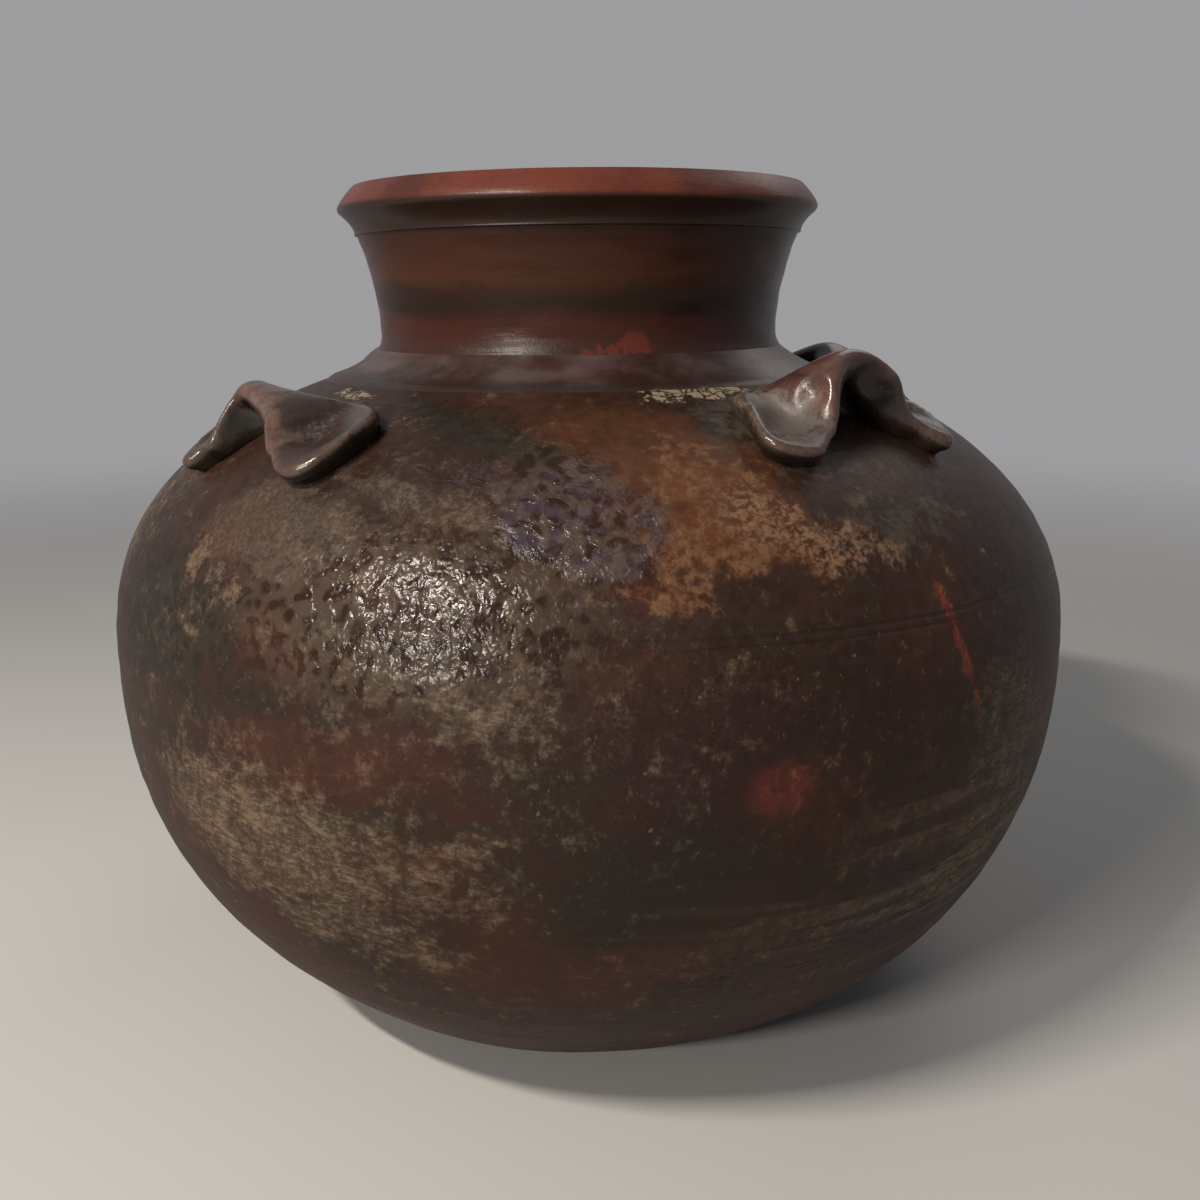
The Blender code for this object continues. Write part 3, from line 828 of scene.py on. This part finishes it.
def body_glaze():
    """The stained and pitted glaze of the shoulder and the lower wall, from the ground up."""
    glaze = Glaze("wood_fired_glaze")
    ragged = glaze.warped(0.022, 0.011, 5)
    drift = glaze.noise(glaze.place, 0.07, 4, 0.6)
    patchy = glaze.noise(glaze.place, 0.014, 4, 0.65)
    fine = glaze.noise(glaze.place, 0.0042, 3, 0.7)
    grit = glaze.noise(glaze.place, 0.0015, 2, 0.6)
    rings = glaze.noise(glaze.squash(0.1, 1), 0.0065, 3, 0.6)
    height = glaze.height()

    def stain(places, patch_amount, fine_amount, low, high):
        """Patches broken up by the clouds of the firing."""
        broken = (patchy - 0.5) * patch_amount + (fine - 0.5) * fine_amount
        return glaze.fade(glaze.patches(places, ragged) + broken, low, high)

    glaze.color = glaze.mix(glaze.fade(drift, 0.4, 0.66) * 0.8, iron_brown, red_brown)
    glaze.lay(glaze.fade(rings, 0.45, 0.7) * 0.4, soot_green)
    glaze.lay(stain(plum_places, 1.0, 0.3, 0.2, 1.0) * 0.8, plum_brown)
    glaze.lay(stain(reddish_places, 1.8, 1.5, 0.2, 1.1) * 0.75, red_brown)
    glaze.lay(stain(green_black_places, 1.6, 1.3, 0.1, 1.05) * 0.85, soot_green)
    # Grey mottle: painted sheen round the highlights on the front, and dust at the back.
    dusty = glaze.patches(dust_and_sheen_places)
    mottle = glaze.fade(patchy * 0.5 + fine * 0.5 + (grit - 0.5) * 0.3, 0.47, 0.66)
    glaze.lay(mottle * dusty * 0.38, ash_grey)
    glaze.lay(glaze.fade(fine, 0.58, 0.72) * 0.55, near_black)

    taupe = stain(taupe_places, 0.8, 0.5, 0.3, 0.8)
    glaze.lay(taupe * (0.14 + glaze.fade(grit, 0.42, 0.6) * 0.16), ash_grey)
    stone = stain(stone_places, 1.4, 1.8, 0.35, 0.8)
    glaze.lay(stone * 0.38, stone_grey)

    # Thin ash, scratchy and broken into speckle.
    ash = stain(khaki_places, 1.9, 2.4, 0.1, 1.25)
    scratch = glaze.noise(glaze.squash(0.5, 1.6), 0.0022, 3, 0.7)
    ash_color = glaze.mix(glaze.fade(patchy, 0.4, 0.6), olive, khaki)
    ash_color = glaze.mix(glaze.fade(grit, 0.45, 0.62), ash_color, ash_grey)
    glaze.lay(ash * (0.35 + glaze.fade(scratch, 0.42, 0.58) * 0.65), ash_color)

    # The warm patch on the shoulder, which dissolves to the right.
    glow = stain(ochre_glow_places, 1.2, 0.8, 0.1, 1.1)
    glow_color = glaze.mix(glaze.fade(patchy, 0.4, 0.62), burnt_orange, scorched_orange)
    glaze.lay(glow * 0.72, glow_color)
    bloom = stain(ochre_places, 1.5, 2.0, 0.25, 0.95)
    paler = glaze.patches(paler_places, ragged)
    bloom_color = glaze.mix(glaze.fade(fine + (patchy - 0.5) * 1.4, 0.38, 0.7), burnt_orange, ochre)
    bloom_color = glaze.mix(paler * glaze.fade(grit, 0.35, 0.6) * 0.8, bloom_color, tan)
    specks = glaze.fade(glaze.noise(glaze.squash(1, 1.5), 0.0034, 3, 0.7), 0.47, 0.6)
    glaze.lay(bloom * (0.84 - specks * (0.45 + paler * 0.39)), bloom_color)

    violet = glaze.fade(glaze.patches(violet_places, ragged) + (fine - 0.5) * 0.9, 0.25, 0.95)
    folds = glaze.vector("MULTIPLY", glaze.warped(0.016, 0.01, 2), (1, 1, 1.7))
    wrinkles = glaze.noise(folds, 0.009, 2, 0.5, 1.6)
    sheen = glaze.mix(glaze.fade(patchy, 0.45, 0.6), lilac, blue_grey)
    sheen = glaze.mix(glaze.fade(wrinkles, 0.44, 0.6), sheen, iron_brown)
    glaze.lay(violet * 0.5, sheen)

    crust = stain(crust_places, 1.2, 1.6, 0.42, 0.6)
    cracks = glaze.cells(glaze.warped(0.006, 0.004, 3), 0.005, "DISTANCE_TO_EDGE")
    crust = crust * glaze.fade(cracks + (grit - 0.5) * 0.2, 0.02, 0.12)
    glaze.lay(crust * 0.75, cream)
    dabs = glaze.patches(dab_places, glaze.warped(0.006, 0.0035, 5))
    dabs = glaze.fade(dabs + (fine - 0.5) * 2.6 + (grit - 0.5) * 1.4, 0.35, 1.3)
    glaze.lay(dabs * 0.4, tan)

    # Flecks of ash under the scored line, and chips lower down.
    flecks = glaze.fade(glaze.noise(glaze.squash(1.3, 0.9), 0.004, 3, 0.6), 0.65, 0.72)
    glaze.lay(flecks * glaze.patches(fleck_places) * 0.45, tan)
    chips = glaze.fade(glaze.noise(glaze.squash(0.45, 2.2), 0.005, 1, 0.5), 0.65, 0.68)
    chips = chips * glaze.patches(chip_places)
    glaze.lay(chips * 0.85, near_black)

    hot = glaze.warped(0.006, 0.0025, 3)
    red = glaze.patches(red_spot_places, hot) * (0.85 + (fine - 0.5) * 2.2)
    glaze.lay(red * 0.34, signal_red)
    streak = glaze.fade(glaze.patches(red_streak_places, hot) + (fine - 0.5) * 1.8, 0.35, 0.95)
    glaze.lay(streak * 0.65, glaze.mix(glaze.fade(grit, 0.5, 0.62), signal_red, orange_core))

    # The trimming tool's bands, low on two sides: dark in their valleys, dusty on their ridges.
    trimmed = glaze.patches(trimmed_places)
    bands = glaze.noise(glaze.squash(0.05, 1), 0.009, 2, 0.5)
    glaze.lay(glaze.fade(bands, 0.5, 0.6) * trimmed * 0.45, near_black)
    ridges = glaze.fade(bands, 0.48, 0.41) * trimmed
    glaze.lay(ridges * (0.2 + glaze.fade(fine, 0.4, 0.6) * 0.4), khaki)

    # The scored lines waver, and are pressed harder on one side.
    wave = height + (drift - 0.5) * scored_waver
    scored = 0
    for line, half, side in scored_lines:
        offset = glaze.node("ShaderNodeMath", {"operation": "ABSOLUTE"}, {0: wave - line})
        scored = glaze.fade(offset, half * 1.8, half * 0.3) * glaze.patches((side,)) | scored
    glaze.lay(scored * (0.15 + glaze.fade(patchy, 0.4, 0.62) * 0.3), near_black)

    inside = glaze.read("inside")
    glaze.lay(inside, glaze.mix(glaze.fade(rings, 0.4, 0.6), inner_brown, iron_brown))

    glossy = glaze.patches(glossy_places) | glaze.fade(height, 0.13, 0.21) * 0.15
    matte = glaze.fade(height, 0.17, 0.09)
    rough = 0.5 - glossy * 0.31 + ash * 0.12 + bloom * 0.1 + taupe * 0.06 + matte * 0.08
    rough = rough + (grit - 0.5) * 0.25 + crust * 0.2 + inside * 0.15
    pits = glaze.cells(glaze.warped(0.007, 0.003, 2), 0.0046, "SMOOTH_F1")
    pinholes = glaze.cells(glaze.warped(0.004, 0.0012, 2), 0.0021, "SMOOTH_F1")
    stretched = glaze.vector("MULTIPLY", glaze.warped(0.007, 0.003, 2), (1, 1, 0.6))
    lumps = glaze.noise(stretched, 0.005, 2, 0.55)
    relief = pits * pit_depth + lumps * lump_depth + pinholes * pinhole_depth
    relief = relief * (0.05 + glossy * 0.95)
    # Painted sheen: in the glossy places the net between the pits is greyed.
    glaze.lay(glaze.fade(pits, 0.3, 0.52) * glossy * 0.3, ash_grey)
    relief = relief + fine * fine_depth + grit * grit_depth
    relief = relief + rings * (ring_depth + matte * matte_ring_depth) - bands * trimmed * trimming_depth
    relief = relief + wrinkles * violet * wrinkle_depth + (crust + dabs) * crust_height
    relief = relief - scored * scoring_depth - chips * chip_depth
    return glaze.finish(rough, relief, gloss=0.2)


# The neck's colours from its foot to the lip, by the share of the way up.
neck_bands = (
    (0.0, (0.03, 0.017, 0.015)),
    (0.16, (0.046, 0.017, 0.012)),
    (0.28, (0.054, 0.015, 0.009)),
    (0.42, (0.02, 0.009, 0.006)),
    (0.55, (0.026, 0.011, 0.006)),
    (0.66, (0.058, 0.019, 0.008)),
    (0.86, (0.045, 0.014, 0.007)),
    (1.0, (0.026, 0.01, 0.006)),
)
neck_foot_height = 0.262
neck_top_height = 0.33
neck_scuff_places = (
    (-28.2, 0.0828, 0.279, 0.007, 0.0055, 0.9, 0, 1.0),
    (-35.0, 0.0835, 0.2755, 0.015, 0.0036, 0.9, 0, 0.9),
)


def neck_glaze():
    """Reddish and brown bands, broken by the rings of the wheel."""
    glaze = Glaze("neck_slip")
    height = glaze.height()
    drift = glaze.noise(glaze.place, 0.06, 4, 0.6)
    rings = glaze.noise(glaze.squash(0.14, 1), 0.006, 4, 0.6)
    fine = glaze.noise(glaze.place, 0.0035, 3, 0.65)
    grit = glaze.noise(glaze.place, 0.0012, 2, 0.6)
    level = glaze.fade(height, neck_foot_height, neck_top_height)
    level = level + (drift - 0.5) * 0.22 + (rings - 0.5) * 0.25
    glaze.color = glaze.node("ShaderNodeValToRGB", {"stops": neck_bands}, {0: level}, "Color")
    glaze.lay(glaze.fade(rings, 0.5, 0.72) * 0.5, iron_brown)
    glaze.lay(glaze.fade(fine, 0.62, 0.74) * 0.4, near_black)
    scuff = glaze.patches(neck_scuff_places, glaze.warped(0.006, 0.004, 4)) + (fine - 0.5) * 2.4
    scuff = glaze.fade(scuff, 0.4, 1.0)
    glaze.lay(scuff * 0.4, signal_red)
    inside = glaze.read("inside")
    glaze.lay(inside, glaze.mix(glaze.fade(rings, 0.4, 0.6), inner_brown, dull_brick))
    relief = rings * 0.0003 + fine * 0.00012 + grit * 0.00005
    return glaze.finish(0.33 + (grit - 0.5) * 0.2 + inside * 0.15, relief, gloss=0.19)


# The collar's dark outer edge starts and ends at two radii.
collar_edge_start = 0.096
collar_edge_end = 0.105


def collar_glaze():
    """A grey slip, darker towards the edge, with crust stuck in its corner."""
    glaze = Glaze("collar_slip")
    drift = glaze.noise(glaze.place, 0.04, 4, 0.6)
    rings = glaze.noise(glaze.squash(0.14, 1.5), 0.006, 3, 0.6)
    fine = glaze.noise(glaze.place, 0.0035, 3, 0.65)
    glaze.color = glaze.mix(glaze.fade(drift, 0.38, 0.64), collar_grey, iron_brown)
    glaze.lay(glaze.fade(rings, 0.48, 0.66) * 0.5, red_brown)
    radius = glaze.vector("LENGTH", glaze.squash(1, 0), (0, 0, 0), "Value")
    outer = radius + (drift - 0.5) * 0.012 + (fine - 0.5) * 0.006
    outer = glaze.fade(outer, collar_edge_start, collar_edge_end)
    glaze.lay(outer * 0.8, glaze.mix(glaze.fade(drift, 0.42, 0.6), soot_green, iron_brown))
    stuck = glaze.patches(crust_places, glaze.warped(0.008, 0.004, 3)) + (fine - 0.5) * 1.4
    glaze.lay(glaze.fade(stuck, 0.45, 0.7) * 0.4, khaki)
    return glaze.finish(0.42 + (fine - 0.5) * 0.2, rings * 0.00018 + fine * 0.00012, gloss=0.38)


# Below the higher of these heights the lip's underside turns dark: its darker glaze, and painted shade
# under the lip.
lip_dark_height = 0.3325
lip_darkest_height = 0.33


def lip_glaze():
    """Brick-red clay, rubbed bare, with a dark underside of darker glaze and painted shade."""
    glaze = Glaze("worn_lip_clay")
    height = glaze.height()
    drift = glaze.noise(glaze.place, 0.035, 4, 0.6)
    streaks = glaze.noise(glaze.squash(0.2, 1.4), 0.004, 3, 0.6)
    grit = glaze.noise(glaze.place, 0.0012, 2, 0.6)
    glaze.color = glaze.mix(glaze.fade(drift, 0.36, 0.66), brick, dull_brick)
    glaze.lay(glaze.fade(streaks, 0.5, 0.72) * 0.35, red_brown)
    glaze.lay(glaze.fade(grit + (drift - 0.5) * 0.3, 0.6, 0.7) * 0.55, near_black)
    # Painted shade under the lip, laid with its darker glaze.
    under = glaze.fade(height + (streaks - 0.5) * 0.0012, lip_dark_height, lip_darkest_height)
    glaze.lay(under, iron_brown)
    inside = glaze.read("inside")
    glaze.lay(inside * 0.6, dull_brick)
    rough = 0.36 + (grit - 0.5) * 0.25 + inside * 0.1
    return glaze.finish(rough, streaks * 0.00016 + grit * 0.00006, gloss=0.27)


# Where the handles are dusty and red, where a highlight is painted along their creases, and where soot and
# painted shade darken them.
handle_dust_places = (
    (-11.5, 0.14, 0.258, 0.016, 0.009, 0.9, 0, 1.0),
    (-76.0, 0.148, 0.252, 0.018, 0.008, 0.9, 0, 0.2),
    (15.0, 0.152, 0.252, 0.012, 0.007, 0.9, 0, 0.5),
    (-98.0, 0.16, 0.247, 0.014, 0.009, 0.9, 0, 0.4),
)
handle_red_places = (
    (-8.3, 0.144, 0.264, 0.0065, 0.0055, 0.8, 0, 0.9),
    (-2.0, 0.145, 0.274, 0.012, 0.006, 0.9, 0, 0.8),
    (-93.0, 0.154, 0.264, 0.01, 0.005, 0.9, 0, 0.5),
    (84.0, 0.144, 0.27, 0.01, 0.006, 0.9, 0, 0.7),
)
handle_painted_highlight_places = (
    (-94.0, 0.154, 0.263, 0.006, 0.004, 0.8, 0, 0.9),
    (-90.5, 0.155, 0.261, 0.006, 0.0045, 0.8, 0, 1.0),
    (-87.4, 0.156, 0.2587, 0.005, 0.005, 0.8, 0, 1.0),
    (-84.5, 0.158, 0.254, 0.004, 0.006, 0.8, 0, 1.0),
    (-82.2, 0.1605, 0.249, 0.004, 0.005, 0.8, 0, 0.9),
    (-7.0, 0.1495, 0.264, 0.0035, 0.0065, 0.8, 0, 0.9),
    (-5.0, 0.147, 0.271, 0.006, 0.005, 0.8, 0, 0.7),
)
handle_soot_and_shade_places = (
    (-95.5, 0.154, 0.249, 0.007, 0.0065, 0.8, 0, 1.0),
    (5.0, 0.142, 0.26, 0.006, 0.007, 0.8, 0, 1.0),
    (-70.5, 0.15, 0.25, 0.0075, 0.007, 0.8, 0, 1.0),
    (-101.0, 0.164, 0.243, 0.01, 0.006, 0.9, 0, 0.7),
    (190.0, 0.15, 0.25, 0.012, 0.008, 0.9, 0, 0.8),
)


def handle_glaze():
    """Dark glaze, dusty in its hollows, lighter on its edges for wear and painted highlight, and painted
    black underneath for shade.
    """
    glaze = Glaze("handle_glaze")
    ragged = glaze.warped(0.01, 0.005, 4)
    drift = glaze.noise(glaze.place, 0.022, 4, 0.6)
    fine = glaze.noise(glaze.place, 0.0035, 3, 0.65)
    grit = glaze.noise(glaze.place, 0.0013, 2, 0.6)
    worn = glaze.read("worn")
    hollow = glaze.read("hollow")
    rise = glaze.read("rise")
    glaze.color = glaze.mix(glaze.fade(drift, 0.36, 0.62), strap_umber, strap_brown)
    glaze.lay(glaze.fade(rise, 0.45, 0.85) * 0.45, red_brown)
    glaze.lay(glaze.patches(handle_red_places, ragged) * 0.7, strap_red)
    speckle = (fine - 0.5) * 1.8 + (grit - 0.5) * 1.4
    dust = glaze.fade(glaze.patches(handle_dust_places, ragged) + hollow * 0.4 + speckle, 0.25, 1.35)
    glaze.lay(dust * 0.62, strap_dust)
    # Dark patches: soot, and painted shade in the openings under the front handles' arches.
    glaze.lay(glaze.patches(handle_soot_and_shade_places, ragged), strap_soot_and_shade)
    # Lighter edges: rubbed wear, and a painted highlight along the creases.
    worn = worn | glaze.patches(handle_painted_highlight_places, ragged)
    glaze.lay(worn * (0.35 + glaze.fade(fine, 0.4, 0.6) * 0.25), worn_edge_and_highlight)
    # Painted shade: the faces that look down are painted near black.
    glaze.lay(glaze.read("under") * 0.85, near_black)
    glaze.lay(glaze.fade(fine, 0.62, 0.74) * 0.4, near_black)
    rough = 0.28 + dust * 0.18 + (grit - 0.5) * 0.22 - worn * 0.1
    relief = drift * 0.0004 + fine * 0.0001 + grit * 0.00005
    return glaze.finish(rough, relief, gloss=0.46)


# Glaze runs down the base to the first of these heights, and below the second the clay is bare.
base_glaze_height = 0.005
base_bare_height = 0.0015


def base_glaze():
    """Matte glaze on the upturn and bare clay where the jar stands."""
    glaze = Glaze("bare_base_clay")
    height = glaze.height()
    patchy = glaze.noise(glaze.place, 0.016, 4, 0.65)
    fine = glaze.noise(glaze.place, 0.0035, 3, 0.7)
    grit = glaze.noise(glaze.place, 0.0013, 2, 0.6)
    rings = glaze.noise(glaze.squash(0.1, 1), 0.0065, 3, 0.6)
    bare = glaze.fade(height + (patchy - 0.5) * 0.006, base_glaze_height, base_bare_height)
    glaze.color = glaze.mix(glaze.fade(patchy, 0.4, 0.62), iron_brown, red_brown)
    glaze.lay(glaze.fade(rings, 0.48, 0.68) * 0.4, olive)
    clay = glaze.mix(glaze.fade(patchy, 0.42, 0.6), bare_clay, dull_brick)
    glaze.lay(bare, glaze.mix(glaze.fade(grit, 0.62, 0.7), clay, khaki))
    glaze.lay(glaze.read("inside"), inner_brown)
    relief = fine * 0.0004 + grit * 0.00018 + rings * 0.0003
    return glaze.finish(0.55 + bare * 0.25, relief, gloss=0.25)


handles = ("handle_front_right", "handle_back_right", "handle_back_left", "handle_front_left")


def dress():
    """Makes each piece, works it by hand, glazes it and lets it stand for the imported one."""
    pieces = body_pieces()
    pieces["collar"] = collar_piece()
    pieces["neck"] = neck_piece()
    pieces["lip"] = lip_piece()
    for name in ("collar", "neck", "lip"):
        set_on_neck(pieces[name])
    for name in handles:
        pieces[name] = handle_piece(name)
    for piece in pieces.values():
        work_by_hand(piece)
    body = body_glaze()
    finishes = {"shoulder": body, "lower_wall": body, "base": base_glaze()}
    finishes.update({"collar": collar_glaze(), "neck": neck_glaze(), "lip": lip_glaze()})
    strap = handle_glaze()
    for name, piece in pieces.items():
        piece.data.materials.clear()
        piece.data.materials.append(finishes.get(name, strap))
        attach(piece, "root")
        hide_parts(name)


# Lamps: the name, the turn round the jar and the rise above the horizon in degrees, the distance, the
# width and height, the power in watts and the colour. All are aimed at one point.
lamps = (
    ("key", -82, 40, 1.3, (0.34, 0.035), 12, (1.0, 0.93, 0.84)),
    ("low_window", -74, 17, 1.5, (0.34, 0.018), 8.5, (1.0, 0.94, 0.88)),
    ("behind", 105, 45, 2.0, (1.2, 1.0), 5, (1.0, 0.96, 0.92)),
)
lamp_target = (0, 0, 0.2)
room_color = (0.86, 0.9, 1.0)
room_strength = 0.1


def area_light(name, turn, rise, distance, size, power, color):
    """A soft lamp, aimed at the point that the lamps share."""
    bpy.ops.object.select_all(action="DESELECT")
    turn, rise = math.radians(turn), math.radians(rise)
    way = Vector((math.cos(turn) * math.cos(rise), math.sin(turn) * math.cos(rise), math.sin(rise)))
    place = Vector(lamp_target) + way * distance
    bpy.ops.object.light_add(type="AREA", location=place, rotation=way.to_track_quat("Z", "Y").to_euler())
    lamp = bpy.context.object
    lamp.name = name
    lamp.data.shape = "RECTANGLE"
    lamp.data.size, lamp.data.size_y = size
    lamp.data.energy = power
    lamp.data.color = color


# The floor fades into the backdrop between two distances from the jar.
backdrop = (0.34, 0.335, 0.345)
floor_color = (0.68, 0.67, 0.64)
floor_roughness = 0.9
floor_radius = 6
floor_near = 0.6
floor_far = 2.0


def seen_share(tree):
    """1 for what the camera, a gloss or a glass sees directly, 0 for light that falls on the jar."""
    path = tree.nodes.new("ShaderNodeLightPath")
    share = path.outputs["Is Camera Ray"]
    for ray in ("Is Glossy Ray", "Is Transmission Ray"):
        either = tree.nodes.new("ShaderNodeMath")
        either.operation = "MAXIMUM"
        tree.links.new(share, either.inputs[0])
        tree.links.new(path.outputs[ray], either.inputs[1])
        share = either.outputs[0]
    return share


def lay_floor():
    """A plain pale floor that catches the jar's shadow."""
    bpy.ops.object.select_all(action="DESELECT")
    bpy.ops.mesh.primitive_circle_add(
        vertices=96, radius=floor_radius, fill_type="NGON", location=(0, 0, 0)
    )
    floor = bpy.context.object
    floor.name = "pale_floor"
    cloth = Glaze("pale_floor")
    cloth.color = (*floor_color, 1)
    cloth.finish(floor_roughness)
    away = cloth.vector("LENGTH", cloth.place, (0, 0, 0), "Value")
    share = cloth.fade(away, floor_near, floor_far) * Wire(cloth, seen_share(cloth.tree))
    glow = cloth.node("ShaderNodeEmission", None, {"Color": (*backdrop, 1)})
    sockets = {0: share, 1: Wire(cloth, cloth.shader.outputs[0]), 2: glow}
    both = cloth.node("ShaderNodeMixShader", None, sockets)
    cloth.plug(both, cloth.tree.nodes["Material Output"].inputs["Surface"])
    floor.data.materials.append(cloth.material)


def light_room():
    """A faint, even light on the jar, and the plain backdrop where it is looked at."""
    world = bpy.data.worlds.new("studio")
    bpy.context.scene.world = world
    world.use_nodes = True
    tree = world.node_tree
    light = tree.nodes["Background"]
    light.inputs["Color"].default_value = (*room_color, 1)
    light.inputs["Strength"].default_value = room_strength
    seen = tree.nodes.new("ShaderNodeBackground")
    seen.inputs["Color"].default_value = (*backdrop, 1)
    choose = tree.nodes.new("ShaderNodeMixShader")
    tree.links.new(seen_share(tree), choose.inputs[0])
    tree.links.new(light.outputs[0], choose.inputs[1])
    tree.links.new(seen.outputs[0], choose.inputs[2])
    tree.links.new(choose.outputs[0], tree.nodes["World Output"].inputs["Surface"])


# The camera stands in front of the jar turned by its own turn, and looks down by its dip, in degrees.
camera_turn = 49.5
camera_place = (0.00466, -0.548, 0.2986)
camera_dip = 13.9
camera_lens = 37.5
camera_sensor = 36


def set_camera():
    bpy.ops.object.select_all(action="DESELECT")
    turn = math.radians(camera_turn)
    place = Matrix.Rotation(turn, 4, "Z") @ Vector(camera_place)
    bpy.ops.object.camera_add(location=place, rotation=(math.radians(90 - camera_dip), 0, turn))
    eye = bpy.context.object
    eye.data.lens = camera_lens
    eye.data.sensor_width = camera_sensor
    bpy.context.scene.camera = eye


set_camera()
dress()
lay_floor()
for lamp in lamps:
    area_light(*lamp)
light_room()
bpy.context.scene.view_settings.view_transform = "Standard"
